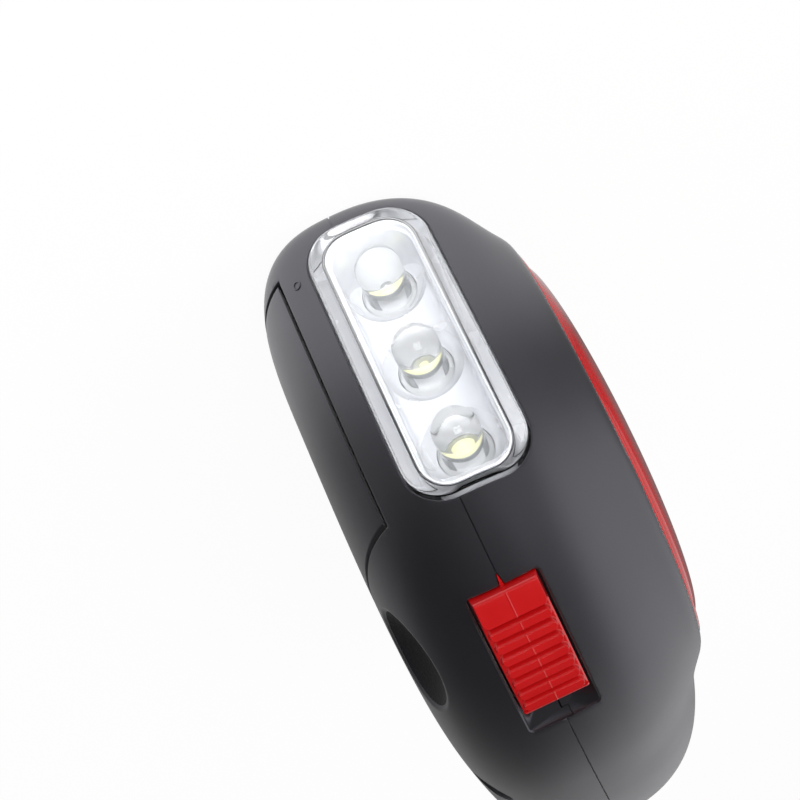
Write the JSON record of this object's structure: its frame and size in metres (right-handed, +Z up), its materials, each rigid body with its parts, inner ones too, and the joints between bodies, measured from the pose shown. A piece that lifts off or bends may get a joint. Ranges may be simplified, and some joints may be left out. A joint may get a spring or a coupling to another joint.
{
  "type": "hand-cranked flashlight",
  "caption": "Pocket flashlight with a clear oblong lens over round lamps, a ribbed thumb slide switch, a side battery cover and a folding crank handle in a domed disc.",
  "frame": {"origin": "on the flat belly, in the plane through the three lamps, at half the body's length", "axes": "+Y towards the tail, so the lamps look along -Y; +Z up from the belly; +X to the side with the battery cover, so the crank is on the -X side"},
  "size_m": [0.0347, 0.1089, 0.0572],
  "materials": {
    "black_plastic": "fine matte moulded",
    "red_plastic": "glossy moulded",
    "clear_plastic": "clear polished",
    "lamp_resin": "clear cast resin",
    "silvered": "bright metallised plastic",
    "steel": "plated",
    "brass": "satin",
    "copper": "enamelled copper wire",
    "gear_plastic": "natural moulded",
    "board_green": "lacquered laminate"
  },
  "bodies": {
    "body": {"shell_left": "black_plastic", "shell_right": "black_plastic", "lens": "clear_plastic", "reflector": "silvered", "led_1": "lamp_resin", "led_2": "lamp_resin", "led_3": "lamp_resin", "led_board": "board_green", "battery_cup": "black_plastic", "battery_contact": "brass", "cell_1": "steel", "cell_2": "steel", "switch_body": "steel", "crank_ring": "red_plastic", "crank_bush": "brass", "gear_pin_first": "steel", "gear_pin_second": "steel", "gear_plate": "steel", "generator_can": "steel", "generator_coil": "copper", "main_board": "board_green", "capacitor": "black_plastic", "case_screw_1": "steel", "case_screw_2": "steel", "case_screw_3": "steel", "case_screw_4": "steel", "plate_screw_1": "steel", "plate_screw_2": "steel", "plate_screw_3": "steel", "board_screw_1": "steel", "board_screw_2": "steel"},
    "cover": {"battery_cover": "black_plastic", "cover_contact": "brass"},
    "slider": {"switch_slider": "red_plastic"},
    "crank": {"crank_disc": "red_plastic", "handle_pin": "steel", "crank_axle": "steel", "drive_gear": "gear_plastic", "axle_clip": "steel"},
    "handle": {"crank_handle": "red_plastic", "knob_pin": "steel"},
    "knob": {"crank_knob": "black_plastic"},
    "gear_1": {"gear_first": "gear_plastic"},
    "gear_2": {"gear_second": "gear_plastic"},
    "generator": {"generator_rotor": "steel"}
  },
  "joints": [
    {"name": "crank_spin", "type": "hinge", "parent": "body", "child": "crank", "pos_m": [0, -0.0239, 0.0246], "axis": [1, 0, 0], "continuous": true},
    {"name": "handle_fold", "type": "hinge", "parent": "crank", "child": "handle", "pos_m": [-0.0171, -0.0089, 0.0246], "axis": [0, 0, -1], "range_deg": [0, 180]},
    {"name": "knob_spin", "type": "hinge", "parent": "handle", "child": "knob", "pos_m": [-0.011, -0.0343, 0.0246], "axis": [1, 0, 0], "continuous": true},
    {"name": "gear_1_spin", "type": "hinge", "parent": "body", "child": "gear_1", "pos_m": [-0.004, -0.0043, 0.02061], "axis": [1, 0, 0], "continuous": true},
    {"name": "gear_2_spin", "type": "hinge", "parent": "body", "child": "gear_2", "pos_m": [-0.002, 0.0026, 0.03256], "axis": [1, 0, 0], "continuous": true},
    {"name": "generator_spin", "type": "hinge", "parent": "body", "child": "generator", "pos_m": [0.004, 0.0112, 0.02654], "axis": [1, 0, 0], "continuous": true},
    {"name": "switch_slide", "type": "slide", "parent": "body", "child": "slider", "axis": [0, 0.7664, 0.6423], "range_m": [0, 0.003]},
    {"name": "cover_slide", "type": "slide", "parent": "body", "child": "cover", "axis": [1, 0, 0], "range_m": [0, 0.014]}
  ],
  "couplings": [
    {"joint": "gear_1_spin", "follows": "crank_spin", "ratio": -4},
    {"joint": "gear_2_spin", "follows": "crank_spin", "ratio": 14.4},
    {"joint": "generator_spin", "follows": "crank_spin", "ratio": -46.08}
  ]
}
